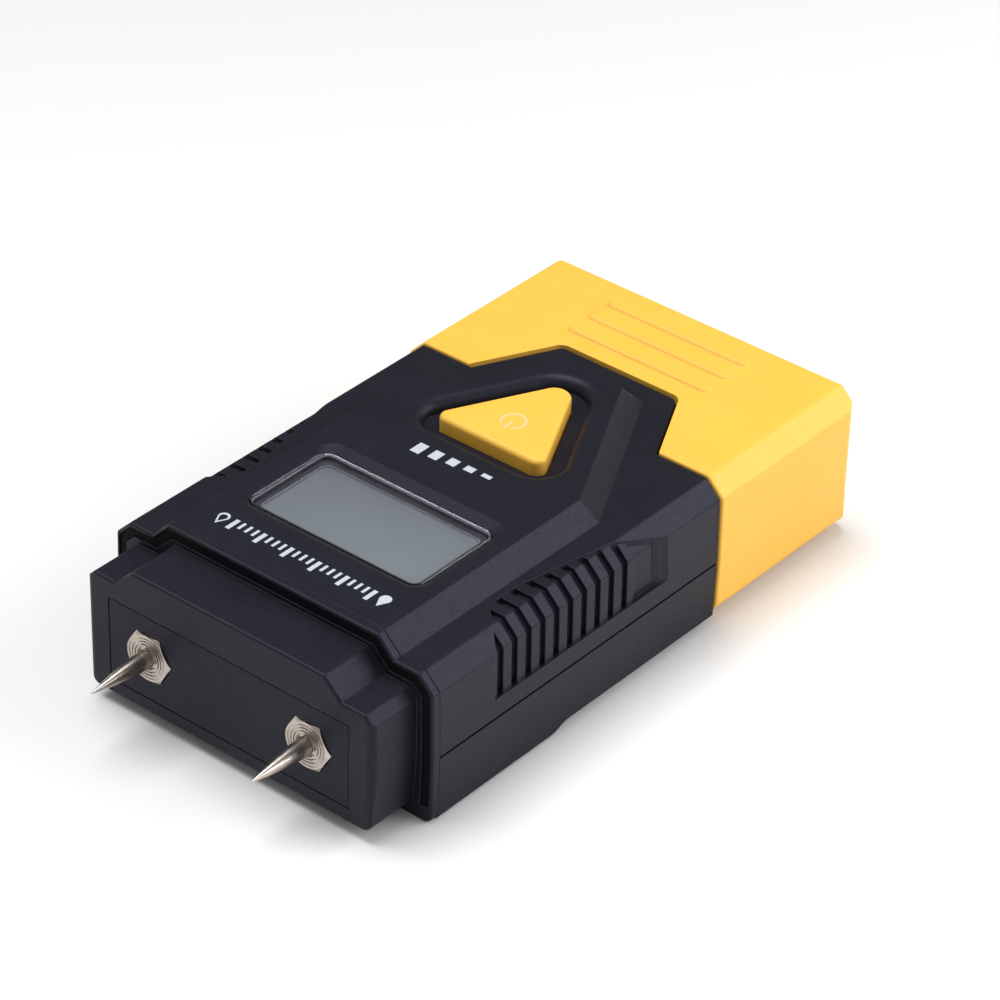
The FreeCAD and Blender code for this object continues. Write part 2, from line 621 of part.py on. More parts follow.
def main_chip():
    chip = box(-5.0, 5.0, 17.0, 27.0, BOARD_Z0 - 1.45, BOARD_Z0 - 0.05)
    return chip.makeChamfer(0.3, chosen_edges(chip, lambda b: b.ZMax < BOARD_Z0 - 1.44))


def amplifier_chip():
    chip = box(6.0, 10.9, 34.0, 37.9, BOARD_Z0 - 1.55, BOARD_Z0 - 0.05)
    return chip.makeChamfer(0.25, chosen_edges(chip, lambda b: b.ZMax < BOARD_Z0 - 1.54))


def crystal_can():
    outline = [(-15.5, 30.0, 2.2), (-4.5, 30.0, 2.2), (-4.5, 34.6, 2.2), (-15.5, 34.6, 2.2)]
    can = prism_z(outline, BOARD_Z0 - 3.6, BOARD_Z0 - 0.05)
    return can.makeFillet(0.5, chosen_edges(can, lambda b: b.ZMax < BOARD_Z0 - 3.59))


def capacitors():
    parts = []
    for x, y in ((-14.0, 44.0), (-6.5, 44.0)):
        can = rod(x, y, BOARD_Z0 - 5.4, BOARD_Z0 - 0.05, 2.5)
        parts.append(can.makeFillet(0.4, chosen_edges(can, lambda b: b.ZMax < BOARD_Z0 - 5.39)))
    return Part.makeCompound(parts)


def trimmer():
    body = box(13.0, 19.6, 48.0, 54.6, BOARD_Z0 - 4.8, BOARD_Z0 - 0.05)
    body = body.cut(rod(16.3, 51.3, BOARD_Z0 - 5, BOARD_Z0 - 4.2, 1.8))
    slot = box(15.9, 16.7, 49.8, 52.8, BOARD_Z0 - 4.7, BOARD_Z0 - 4.1)
    return merge([body, rod(16.3, 51.3, BOARD_Z0 - 4.7, BOARD_Z0 - 4.1, 1.6)]).cut(slot)


def buzzer():
    can = rod(0.5, 53.5, BOARD_Z0 - 6.5, BOARD_Z0 - 0.05, 6.0)
    can = can.makeFillet(0.6, chosen_edges(can, lambda b: b.ZMax < BOARD_Z0 - 6.49))
    return can.cut(rod(0.5, 53.5, BOARD_Z0 - 7, BOARD_Z0 - 5.3, 1.0))


def cross_recess(x, y, z, size, depth, up):
    arm = size / 2
    width = size / 6
    z0 = min(z, z + up * depth)
    z1 = max(z, z + up * depth)
    return box(x - arm, x + arm, y - width, y + width, z0, z1).fuse(
        box(x - width, x + width, y - arm, y + arm, z0, z1))


def board_screws():
    parts = []
    for x, y in BOARD_SCREWS:
        head = rod(x, y, BOARD_Z0 - 1.3, BOARD_Z0 - 0.03, 1.9)
        head = head.makeFillet(0.5, chosen_edges(head, lambda b: b.ZMax < BOARD_Z0 - 1.29))
        screw = merge([head, rod(x, y, BOARD_Z0 - 0.1, 12.2, 0.8)])
        parts.append(screw.cut(cross_recess(x, y, BOARD_Z0 - 1.31, 2.0, 0.7, 1)))
    return Part.makeCompound(parts)


def case_screws():
    parts = []
    for x, y in CASE_SCREWS:
        head = rod(x, y, -8.6, -6.83, 2.5)
        head = head.makeFillet(0.7, chosen_edges(head, lambda b: b.ZMax < -8.59))
        shank = rod(x, y, -7.0, 7.0, 1.1)
        shank = shank.makeChamfer(0.5, chosen_edges(shank, lambda b: b.ZMin > 6.99))
        screw = merge([head, shank])
        parts.append(screw.cut(cross_recess(x, y, -8.61, 2.8, 0.9, 1)))
    return Part.makeCompound(parts)


# ---- battery ------------------------------------------------------------------------------------------
def battery():
    block = box(-25.3, 20.9, 69.2, 95.4, -6.4, 10.6)
    long_edges = chosen_edges(block, lambda b: b.XLength > 40)
    block = block.makeFillet(1.6, long_edges)
    small = rod(0, 0, 0, 2.0, 2.8)
    small.rotate(V(0, 0, 0), V(0, 1, 0), 90)
    small.translate(V(20.7, 76.0, 2.1))
    large = rod(0, 0, 0, 2.0, 3.9)
    large.rotate(V(0, 0, 0), V(0, 1, 0), 90)
    large.translate(V(20.7, 88.6, 2.1))
    return merge([block, small, large])


def battery_snap():
    plate = prism_x([(70.2, -5.4, 2.5), (94.4, -5.4, 2.5), (94.4, 9.6, 2.5), (70.2, 9.6, 2.5)], 22.75, 25.2)
    back = box(25.1, 26.4, 74.0, 90.6, -3.0, 7.2)
    return merge([plate, back])


def battery_lead(x_end, y_end, z):
    """Lead from the snap connector through the slot in the dividing wall and up to the board."""
    points = [V(26.3, 73.9, z), V(26.3, 69.2, z), V(x_end, 65.8, z), V(x_end, y_end, z),
              V(x_end, y_end, BOARD_Z0 - 0.1)]
    return tube_path(points, 1.3, 0.65)


def battery_pad():
    return box(BAY_X * -1 + 0.05, -25.35, 71.0, 93.6, -5.0, 9.2)


# ---- end cap --------------------------------------------------------------------------------------------
def cap_section(inset):
    slope = 42.5 - inset * math.sqrt(2)
    side = CAP_X - inset
    top = CAP_TOP_Z - inset
    r_low = max(2.2 - inset, 0.6)
    return both([(side - 0.25, CAP_BOTTOM_Z + inset, r_low), (side, 0.0),
                 (side - 0.1, slope - side + 0.1, 0.8), (slope - top, top, 0.8)])


def end_cap():
    outer = prism_y(cap_section(0.0), CAP_Y0, CAP_Y1)
    rear = chosen_edges(outer, lambda b: b.YMin > CAP_Y1 - 0.01)
    outer = outer.makeFillet(1.1, rear)
    front = chosen_edges(outer, lambda b: b.YMax < CAP_Y0 + 0.01)
    outer = outer.makeFillet(0.4, front)
    plan = [(-CAP_X, CAP_Y0), (CAP_X, CAP_Y0), (CAP_X, CAP_Y1, 3.0), (-CAP_X, CAP_Y1, 3.0)]
    outer = outer.common(prism_z(plan, -20, 20))
    inner = prism_y(cap_section(CAP_WALL), CAP_Y0 - 1, CAP_Y1 - 1.7)
    pad = box(-BELLY_X, BELLY_X, CAP_Y0, CAP_Y1 - 2.2, BOTTOM_Z, CAP_BOTTOM_Z + 0.6)
    pad = pad.makeChamfer(0.8, chosen_edges(pad, lambda b: b.ZMax < BOTTOM_Z + 0.01 and b.YMax > CAP_Y0 + 1))
    shell = outer.fuse(pad).cut(inner)
    notch = tongue_outline(NOTCH_GAP, CAP_Y0 - 1.0)
    shell = shell.cut(prism_z(notch, 9.0, 16.0))
    ribs = []
    for i in range(3):
        y = CAP_RIB_Y0 + i * CAP_RIB_PITCH
        outline = rounded_rect(CAP_RIB_X, y - CAP_RIB_W / 2, y + CAP_RIB_W / 2, CAP_RIB_W / 2 - 0.01)
        bar = prism_z(outline, CAP_TOP_Z - 1.0, CAP_TOP_Z + CAP_RIB_H)
        crown = chosen_edges(bar, lambda b: b.ZMin > CAP_TOP_Z + CAP_RIB_H - 0.01)
        ribs.append(bar.makeFillet(0.9, crown))
    return merge([shell] + ribs)


def rating_label():
    return prism_z(rounded_rect(15.0, 33.0, 55.0, 1.5), BOTTOM_Z + 0.12, BOTTOM_Z + 0.29)


NODES = {
    "upper_shell": upper_shell,
    "lower_shell": lower_shell,
    "nose_block": nose_block,
    "cover_seal": cover_seal,
    "front_plate": front_plate,
    "electrode_pin_left": lambda: electrode_pin(-1),
    "electrode_pin_right": lambda: electrode_pin(1),
    "electrode_nuts": electrode_nuts,
    "contact_tags": contact_tags,
    "electrode_lead_left": lambda: electrode_lead(-1),
    "electrode_lead_right": lambda: electrode_lead(1),
    "lens_window": lens_window,
    "lcd_glass": lcd_glass,
    "lcd_reflector": lcd_reflector,
    "lcd_holder": lcd_holder,
    "zebra_strips": zebra_strips,
    "key_button": key_button,
    "tact_switch": tact_switch,
    "switch_plunger": switch_plunger,
    "circuit_board": circuit_board,
    "main_chip": main_chip,
    "amplifier_chip": amplifier_chip,
    "crystal_can": crystal_can,
    "capacitors": capacitors,
    "trimmer": trimmer,
    "buzzer": buzzer,
    "board_screws": board_screws,
    "case_screws": case_screws,
    "battery": battery,
    "battery_snap": battery_snap,
    "battery_lead_red": lambda: battery_lead(19.2, 57.5, 3.6),
    "battery_lead_black": lambda: battery_lead(17.6, 56.0, 0.8),
    "battery_pad": battery_pad,
    "rating_label": rating_label,
    "end_cap": end_cap,
}

os.makedirs("parts", exist_ok=True)
for name, make in NODES.items():
    shape = make()
    shape.translate(SHIFT)
    shape.exportStep("parts/" + name + ".step")
    flaws = "" if shape.isValid() else "  NOT VALID"
    print(name, len(shape.Solids), "solids", round(shape.Volume, 1), "mm3" + flaws)
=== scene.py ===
"""Looks for the two-pin moisture meter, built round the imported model, in metres.

X runs across the case, -Y is the needle end, +Y the yellow end cap, +Z up out of the display.
"""
import json
import math

import bmesh
import bpy
from mathutils import Matrix, Vector


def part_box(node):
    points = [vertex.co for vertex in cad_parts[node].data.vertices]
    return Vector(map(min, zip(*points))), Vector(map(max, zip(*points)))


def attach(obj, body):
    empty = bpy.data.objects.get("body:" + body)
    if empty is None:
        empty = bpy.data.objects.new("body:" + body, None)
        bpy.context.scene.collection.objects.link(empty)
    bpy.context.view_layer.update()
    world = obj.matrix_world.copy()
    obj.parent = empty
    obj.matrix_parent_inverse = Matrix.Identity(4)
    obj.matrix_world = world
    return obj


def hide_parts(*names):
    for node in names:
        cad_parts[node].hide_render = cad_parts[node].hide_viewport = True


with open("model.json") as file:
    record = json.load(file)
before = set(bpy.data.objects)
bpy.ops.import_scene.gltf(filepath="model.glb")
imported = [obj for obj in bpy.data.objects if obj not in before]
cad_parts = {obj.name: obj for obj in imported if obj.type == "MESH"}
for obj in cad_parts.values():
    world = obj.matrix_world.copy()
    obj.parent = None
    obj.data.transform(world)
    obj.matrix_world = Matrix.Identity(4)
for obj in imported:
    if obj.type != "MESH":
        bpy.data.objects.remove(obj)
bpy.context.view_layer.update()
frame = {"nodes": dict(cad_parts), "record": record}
MM = 0.001

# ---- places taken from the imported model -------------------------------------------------
PANEL_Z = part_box("upper_shell")[1].z
LENS_LO, LENS_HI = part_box("lens_window")
GLASS_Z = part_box("lcd_glass")[1].z
KEY_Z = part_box("key_button")[1].z
PLUNGER_LO, PLUNGER_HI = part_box("switch_plunger")
LENS_SEAT = 0.45 * MM      # width of the step that the window sits on
VIEW_X = LENS_HI.x - LENS_SEAT
VIEW_Y0 = LENS_LO.y + LENS_SEAT
VIEW_Y1 = LENS_HI.y - LENS_SEAT
INK = 0.015 * MM           # how far a printed mark stands out


# ---- materials ---------------------------------------------------------------------------
class Finish:
    """A Principled material with short calls that add its procedural detail."""

    def __init__(self, name, color, roughness, metallic=0.0, specular=0.5):
        self.material = bpy.data.materials.new(name)
        self.material.use_nodes = True
        self.nodes = self.material.node_tree.nodes
        self.links = self.material.node_tree.links
        self.shader = self.nodes["Principled BSDF"]
        self.set("Base Color", (*color, 1.0))
        self.set("Roughness", roughness)
        self.set("Metallic", metallic)
        self.set("Specular IOR Level", specular)
        self.place = self.nodes.new("ShaderNodeTexCoord").outputs["Object"]

    def set(self, socket, value):
        self.shader.inputs[socket].default_value = value

    def feed(self, socket, output):
        self.links.new(output, self.shader.inputs[socket])

    def stretched(self, stretch):
        """Object coordinates scaled per axis, so that a pattern runs along one of them."""
        node = self.nodes.new("ShaderNodeMapping")
        node.inputs["Scale"].default_value = stretch
        self.links.new(self.place, node.inputs["Vector"])
        return node.outputs["Vector"]

    def noise(self, size, detail=3.0, rough=0.5, place=None):
        """Noise from 0 to 1 whose blotches are about size metres across."""
        node = self.nodes.new("ShaderNodeTexNoise")
        node.inputs["Scale"].default_value = 1.0 / size
        node.inputs["Detail"].default_value = detail
        node.inputs["Roughness"].default_value = rough
        self.links.new(place or self.place, node.inputs["Vector"])
        return node.outputs["Fac"]

    def cells(self, size):
        """Distance to the middle of cells about size metres across."""
        node = self.nodes.new("ShaderNodeTexVoronoi")
        node.inputs["Scale"].default_value = 1.0 / size
        self.links.new(self.place, node.inputs["Vector"])
        return node.outputs["Distance"]

    def bands(self, period, axis, wobble=0.0):
        """Sine bands along one axis, period metres apart."""
        node = self.nodes.new("ShaderNodeTexWave")
        node.wave_type = "BANDS"
        node.bands_direction = axis
        node.inputs["Scale"].default_value = math.pi / 10.0 / period
        node.inputs["Distortion"].default_value = wobble
        node.inputs["Detail"].default_value = 2.0
        self.links.new(self.place, node.inputs["Vector"])
        return node.outputs["Fac"]

    def span(self, source, low, high, start=0.0, end=1.0):
        """source moved from start..end to low..high, clamped."""
        node = self.nodes.new("ShaderNodeMapRange")
        node.inputs["From Min"].default_value = start
        node.inputs["From Max"].default_value = end
        node.inputs["To Min"].default_value = low
        node.inputs["To Max"].default_value = high
        self.links.new(source, node.inputs["Value"])
        return node.outputs["Result"]

    def ramp(self, source, stops):
        """Colours at positions along source."""
        node = self.nodes.new("ShaderNodeValToRGB")
        while len(node.color_ramp.elements) < len(stops):
            node.color_ramp.elements.new(1.0)
        for element, (position, color) in zip(node.color_ramp.elements, stops):
            element.position = position
            element.color = (*color, 1.0)
        self.links.new(source, node.inputs["Fac"])
        return node.outputs["Color"]

    def blend(self, factor, first, second):
        """Mix of two colours, each an output or an (r, g, b)."""
        node = self.nodes.new("ShaderNodeMix")
        node.data_type = "RGBA"
        for socket, value in ((node.inputs[6], first), (node.inputs[7], second)):
            if isinstance(value, tuple):
                socket.default_value = (*value, 1.0)
            else:
                self.links.new(value, socket)
        self.links.new(factor, node.inputs[0])
        return node.outputs[2]

    def total(self, first, second, operation="ADD"):
        """Two values put together by one math operation, each an output or a number."""
        node = self.nodes.new("ShaderNodeMath")
        node.operation = operation
        for socket, value in zip(node.inputs, (first, second)):
            if isinstance(value, (int, float)):
                socket.default_value = value
            else:
                self.links.new(value, socket)
        return node.outputs["Value"]

    def axis(self, letter):
        """One object coordinate, in metres."""
        node = self.nodes.new("ShaderNodeSeparateXYZ")
        self.links.new(self.place, node.inputs["Vector"])
        return node.outputs[letter]

    def rounded(self, radius):
        """Normal that rounds off every sharp edge by radius."""
        node = self.nodes.new("ShaderNodeBevel")
        node.samples = 6
        node.inputs["Radius"].default_value = radius
        return node.outputs["Normal"]

    def edge_mask(self, radius):
        """0 on flat faces and towards 1 on sharp edges, from how far the rounded normal turns."""
        turn = self.nodes.new("ShaderNodeVectorMath")
        turn.operation = "DOT_PRODUCT"
        self.links.new(self.rounded(radius), turn.inputs[0])
        plain = self.nodes.new("ShaderNodeNewGeometry").outputs["Normal"]
        self.links.new(plain, turn.inputs[1])
        return self.span(turn.outputs["Value"], 1.0, 0.0, 0.82, 1.0)

    def relief(self, height, depth, strength=1.0, normal=None):
        """Bump of depth metres, feeding the shader's normal."""
        node = self.nodes.new("ShaderNodeBump")
        node.inputs["Strength"].default_value = strength
        node.inputs["Distance"].default_value = depth
        self.links.new(height, node.inputs["Height"])
        if normal is not None:
            self.links.new(normal, node.inputs["Normal"])
        self.feed("Normal", node.outputs["Normal"])


def moulded(name, dark, light, roughness, specular, painted_edge_highlight, tint=(1.0, 1.0, 1.0)):
    """Spark-textured moulded plastic: cloudy tone, fine grain, polished edges, and a painted highlight that
    makes the edges paler.
    """
    f = Finish(name, dark, roughness, specular=specular)
    f.set("Specular Tint", (*tint, 1.0))
    cloud = f.noise(9 * MM, 4.0, 0.6)
    tone = f.ramp(cloud, [(0.3, dark), (0.7, light)])
    # Painted highlight: along sharp edges the colour is pulled towards the pale edge colour, broken up by
    # noise; the lower roughness there is real polish.
    rim = f.edge_mask(0.28 * MM)
    highlight_breakup = f.noise(1.7 * MM, 5.0, 0.7)
    highlight_mask = f.total(rim, f.span(highlight_breakup, 0.35, 1.0, 0.35, 0.65), "MULTIPLY")
    f.feed("Base Color", f.blend(highlight_mask, tone, painted_edge_highlight))
    gloss = f.span(f.noise(0.5 * MM, 3.0), roughness - 0.05, roughness + 0.06, 0.3, 0.7)
    f.feed("Roughness", f.total(gloss, f.span(rim, 0.0, 0.12), "SUBTRACT"))
    grain = f.total(f.noise(0.16 * MM, 2.0), f.span(f.cells(0.22 * MM), 0.0, 0.5), "ADD")
    f.relief(grain, 0.004 * MM, 0.6, f.rounded(0.22 * MM))
    return f.material


def nickel():
    """Turned, slightly stained plating."""
    f = Finish("nickel_steel", (0.56, 0.5, 0.44), 0.26, metallic=1.0)
    stain = f.noise(1.3 * MM, 5.0, 0.65)
    f.feed("Base Color", f.ramp(stain, [(0.25, (0.4, 0.34, 0.29)), (0.62, (0.56, 0.5, 0.45))]))
    lathe = f.bands(0.11 * MM, "Y", 1.5)
    scratch = f.noise(0.09 * MM, 3.0, 0.6, f.stretched((1.0, 5.0, 1.0)))
    f.feed("Roughness", f.span(scratch, 0.2, 0.34, 0.3, 0.7))
    f.relief(f.total(lathe, f.span(scratch, 0.0, 0.4), "ADD"), 0.0012 * MM, 0.4, f.rounded(0.06 * MM))
    return f.material


def clear_window():
    """Polished acrylic that lets lamp light through to the display."""
    f = Finish("clear_window", (0.93, 0.94, 0.97), 0.03)
    f.set("Transmission Weight", 1.0)
    f.set("IOR", 1.49)
    f.relief(f.noise(2.5 * MM, 2.0), 0.002 * MM, 0.15)
    clear = f.nodes.new("ShaderNodeBsdfTransparent")
    clear.inputs["Color"].default_value = (0.93, 0.94, 0.96, 1.0)
    path = f.nodes.new("ShaderNodeLightPath")
    mix = f.nodes.new("ShaderNodeMixShader")
    f.links.new(path.outputs["Is Shadow Ray"], mix.inputs["Fac"])
    f.links.new(f.shader.outputs["BSDF"], mix.inputs[1])
    f.links.new(clear.outputs["BSDF"], mix.inputs[2])
    f.links.new(mix.outputs["Shader"], f.nodes["Material Output"].inputs["Surface"])
    return f.material


def display_glass():
    """Blank reflective display: cool grey, with painted shading that darkens it towards the left and rear
    edges.
    """
    f = Finish("lcd_glass", (0.2, 0.23, 0.22), 0.34, specular=0.4)
    # Painted shading: the colour runs from darker grey at the left rear to paler, greener grey at the front
    # right.
    across = f.span(f.axis("X"), 0.0, 1.0, LENS_LO.x, LENS_HI.x)
    along = f.span(f.axis("Y"), 1.0, 0.0, LENS_LO.y, LENS_HI.y)
    share = f.total(f.total(across, along), 0.5, "MULTIPLY")
    tint = f.ramp(share, [(0.1, (0.082, 0.082, 0.094)), (0.42, (0.095, 0.104, 0.111)),
                          (0.8, (0.104, 0.12, 0.12))])
    fog = f.noise(5 * MM, 3.0)
    f.feed("Base Color", f.blend(f.span(fog, 0.0, 0.25, 0.3, 0.7), tint, (0.115, 0.128, 0.128)))
    f.feed("Roughness", f.span(f.noise(0.3 * MM), 0.3, 0.4))
    f.relief(f.noise(0.12 * MM), 0.001 * MM, 0.3)
    return f.material


def plain_grain(name, color, other, roughness, size, depth, metallic=0.0, specular=0.5):
    """Two-tone grain with matching bump, for small parts and the parts inside."""
    f = Finish(name, color, roughness, metallic, specular)
    grain = f.noise(size, 4.0, 0.6)
    f.feed("Base Color", f.ramp(grain, [(0.3, color), (0.7, other)]))
    f.feed("Roughness", f.span(f.noise(size * 2.3), roughness - 0.08, roughness + 0.08, 0.3, 0.7))
    f.relief(grain, depth, 0.6, f.rounded(0.1 * MM))
    return f.material


def brushed(name, color, other, roughness, direction):
    """Metal with fine lines; direction is the stretch that draws them out."""
    f = Finish(name, color, roughness, metallic=1.0)
    lines = f.noise(0.12 * MM, 3.0, 0.6, f.stretched(direction))
    f.feed("Base Color", f.ramp(lines, [(0.3, color), (0.7, other)]))
    f.feed("Roughness", f.span(lines, roughness - 0.08, roughness + 0.1, 0.3, 0.7))
    f.relief(lines, 0.002 * MM, 0.6, f.rounded(0.08 * MM))
    return f.material


def striped_rubber():
    """Contact strip of alternating dark and pale layers."""
    f = Finish("elastomer", (0.25, 0.25, 0.27), 0.6)
    stripes = f.bands(0.18 * MM, "X")
    f.feed("Base Color", f.ramp(stripes, [(0.4, (0.05, 0.05, 0.055)), (0.6, (0.5, 0.5, 0.52))]))
    f.relief(f.noise(0.1 * MM), 0.004 * MM, 0.5)
    return f.material


def green_board():
    """Solder mask over copper tracks, on woven glass."""
    f = Finish("board", (0.01, 0.11, 0.035), 0.3)
    tracks = f.nodes.new("ShaderNodeTexBrick")
    tracks.inputs["Scale"].default_value = 1.0
    tracks.inputs["Brick Width"].default_value = 3.4 * MM
    tracks.inputs["Row Height"].default_value = 0.9 * MM
    tracks.inputs["Mortar Size"].default_value = 0.14 * MM
    f.links.new(f.place, tracks.inputs["Vector"])
    f.feed("Base Color", f.blend(tracks.outputs["Fac"], (0.008, 0.085, 0.03), (0.02, 0.2, 0.06)))
    f.feed("Roughness", f.span(f.noise(0.6 * MM), 0.24, 0.4))
    f.relief(tracks.outputs["Fac"], 0.03 * MM, 0.5, f.rounded(0.08 * MM))
    return f.material


def battery_jacket():
    """Metal jacket: dark wrap with a copper-coloured end band and roller marks."""
    f = Finish("battery_wrap", (0.02, 0.025, 0.04), 0.32, metallic=0.75)
    lo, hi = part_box("battery")
    share = f.span(f.axis("X"), 0.0, 1.0, lo.x, hi.x)
    dark = (0.018, 0.022, 0.035)
    copper = (0.55, 0.25, 0.09)
    wrap = f.ramp(share, [(0.0, (0.3, 0.3, 0.31)), (0.02, dark), (0.66, dark), (0.67, copper), (0.9, copper),
                          (0.915, (0.6, 0.6, 0.6))])
    f.feed("Base Color", wrap)
    lines = f.noise(0.15 * MM, 3.0, 0.6, f.stretched((0.08, 1.0, 1.0)))
    f.feed("Roughness", f.span(lines, 0.24, 0.4, 0.3, 0.7))
    f.relief(lines, 0.002 * MM, 0.5, f.rounded(0.12 * MM))
    return f.material


def foam():
    """Open-pored dark foam."""
    f = Finish("foam", (0.04, 0.04, 0.042), 0.95, specular=0.2)
    pores = f.cells(0.5 * MM)
    f.feed("Base Color", f.ramp(pores, [(0.1, (0.012, 0.012, 0.013)), (0.5, (0.06, 0.06, 0.064))]))
    f.relief(pores, 0.25 * MM, 1.0)
    return f.material


def label_film():
    """Brushed silver label, left blank."""
    f = Finish("label_film", (0.42, 0.43, 0.44), 0.38, metallic=0.35)
    lines = f.noise(0.1 * MM, 3.0, 0.6, f.stretched((0.05, 1.0, 1.0)))
    f.feed("Base Color", f.ramp(lines, [(0.3, (0.38, 0.39, 0.4)), (0.7, (0.48, 0.49, 0.5))]))
    f.relief(lines, 0.001 * MM, 0.4)
    return f.material


def printed(name, color, other, roughness):
    """Pad-printed ink: slightly uneven, thin enough to take the grain below."""
    f = Finish(name, color, roughness, specular=0.3)
    f.feed("Base Color", f.ramp(f.noise(0.35 * MM, 4.0, 0.7), [(0.3, other), (0.62, color)]))
    f.relief(f.noise(0.16 * MM), 0.004 * MM, 0.5)
    return f.material


COOL = (0.68, 0.7, 1.0)    # tint of the sheen on the black plastics
# In each moulded() call, the colour after the roughness and specular numbers is the painted edge highlight.
FINISHES = {
    "black_plastic": moulded("black_plastic", (0.0088, 0.0089, 0.0125), (0.0112, 0.0113, 0.0156), 0.42, 0.225,
                             (0.03, 0.031, 0.039), COOL),
    "yellow_plastic": moulded("yellow_plastic", (0.86, 0.475, 0.062), (0.89, 0.5, 0.07), 0.42, 0.3,
                              (0.97, 0.6, 0.12)),
    "plate_plastic": moulded("plate_plastic", (0.0088, 0.0089, 0.0136), (0.011, 0.0111, 0.0165), 0.48, 0.22,
                             (0.024, 0.025, 0.032), COOL),
    "nickel_steel": nickel(),
    "brass": brushed("brass", (0.62, 0.42, 0.14), (0.72, 0.52, 0.2), 0.34, (1.0, 0.2, 1.0)),
    "tin_plate": brushed("tin_plate", (0.55, 0.55, 0.53), (0.68, 0.68, 0.66), 0.35, (0.2, 1.0, 1.0)),
    "clear_window": clear_window(),
    "lcd_glass": display_glass(),
    "lcd_film": plain_grain("lcd_film", (0.42, 0.45, 0.43), (0.5, 0.53, 0.51), 0.5, 0.2 * MM, 0.001 * MM,
                            metallic=0.3),
    "white_plastic": plain_grain("white_plastic", (0.68, 0.68, 0.65), (0.75, 0.75, 0.72), 0.45,
                                 0.6 * MM, 0.004 * MM),
    "elastomer": striped_rubber(),
    "board": green_board(),
    "chip_epoxy": plain_grain("chip_epoxy", (0.012, 0.012, 0.013), (0.02, 0.02, 0.021), 0.55,
                              0.12 * MM, 0.006 * MM),
    "can_metal": brushed("can_metal", (0.6, 0.61, 0.62), (0.74, 0.75, 0.76), 0.28, (1.0, 1.0, 0.1)),
    "buzzer_plastic": plain_grain("buzzer_plastic", (0.015, 0.015, 0.015), (0.022, 0.022, 0.022), 0.5,
                                  0.2 * MM, 0.006 * MM),
    "trimmer_blue": plain_grain("trimmer_blue", (0.01, 0.06, 0.36), (0.02, 0.08, 0.42), 0.3,
                                0.4 * MM, 0.003 * MM),
    "screw_steel": brushed("screw_steel", (0.1, 0.1, 0.105), (0.16, 0.16, 0.165), 0.36, (1.0, 1.0, 0.2)),
    "battery_wrap": battery_jacket(),
    "seal_rubber": plain_grain("seal_rubber", (0.003, 0.003, 0.004), (0.005, 0.005, 0.006), 0.75,
                               0.25 * MM, 0.006 * MM, specular=0.12),
    "snap_vinyl": plain_grain("snap_vinyl", (0.014, 0.014, 0.015), (0.022, 0.022, 0.023), 0.6,
                              0.3 * MM, 0.01 * MM),
    "lead_red": plain_grain("lead_red", (0.5, 0.01, 0.008), (0.58, 0.02, 0.012), 0.42, 0.8 * MM, 0.004 * MM),
    "lead_black": plain_grain("lead_black", (0.012, 0.012, 0.013), (0.02, 0.02, 0.02), 0.42,
                              0.8 * MM, 0.004 * MM),
    "lead_blue": plain_grain("lead_blue", (0.01, 0.07, 0.4), (0.015, 0.09, 0.46), 0.42, 0.8 * MM, 0.004 * MM),
    "foam": foam(),
    "label_film": label_film(),
}
WHITE_INK = printed("white_ink", (0.52, 0.56, 0.62), (0.42, 0.45, 0.51), 0.5)
PEACH_INK = printed("peach_ink", (0.96, 0.56, 0.3), (0.93, 0.5, 0.2), 0.5)
GASKET = plain_grain("gasket", (0.006, 0.006, 0.008), (0.01, 0.01, 0.013), 0.4, 0.3 * MM, 0.004 * MM)
# Pale finish for the thin rings that paint highlights round the display opening.
EDGE_HIGHLIGHT_FINISH = plain_grain("painted_edge_highlight", (0.2, 0.19, 0.25), (0.28, 0.27, 0.34), 0.3, 0.8 * MM, 0.002 * MM)


def paint_cad_nodes():
    """Each carried-over CAD node takes the finish of its material slot."""
    slots = {part["node"]: part["material_slot"] for part in frame["record"]["subparts"]}
    for name, node in frame["nodes"].items():
        node.data.materials.clear()
        node.data.materials.append(FINISHES[slots[name]])


# ---- mesh helpers -------------------------------------------------------------------------
def new_piece(name, shape, material, body):
    """Object from a finished bmesh, with its material and body."""
    bmesh.ops.recalc_face_normals(shape, faces=shape.faces)
    mesh = bpy.data.meshes.new(name)
    shape.to_mesh(mesh)
    shape.free()
    piece = bpy.data.objects.new(name, mesh)
    bpy.context.scene.collection.objects.link(piece)
    mesh.materials.append(material)
    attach(piece, body)
    return piece


def wall(shape, low, high):
    """Quads between two closed rows with as many corners each."""
    for i in range(len(low)):
        j = (i + 1) % len(low)
        shape.faces.new((low[i], low[j], high[j], high[i]))


def stack(name, levels, material, body, ring=False):
    """Solid through levels, each (points, z).

    A ring joins its last level to its first, any other shape is capped at both ends.
    """
    shape = bmesh.new()
    rows = [[shape.verts.new((x, y, z)) for x, y in points] for points, z in levels]
    for low, high in zip(rows, rows[1:]):
        wall(shape, low, high)
    if ring:
        wall(shape, rows[-1], rows[0])
    else:
        shape.faces.new(rows[-1])
        shape.faces.new(rows[0][::-1])
    return new_piece(name, shape, material, body)


def raised_print(name, shapes, z, material, body):
    """Flat polygons (lists of x, y) as one thin layer of ink that stands on height z."""
    shape = bmesh.new()
    for points in shapes:
        low = [shape.verts.new((x, y, z - INK)) for x, y in points]
        high = [shape.verts.new((x, y, z + INK)) for x, y in points]
        shape.faces.new(high)
        shape.faces.new(low[::-1])
        wall(shape, low, high)
    return new_piece(name, shape, material, body)


def arc_points(x, y, r, start, end, steps):
    """Points on an arc, angles in degrees."""
    turns = [math.radians(start + (end - start) * i / steps) for i in range(steps + 1)]
    return [(x + r * math.cos(t), y + r * math.sin(t)) for t in turns]


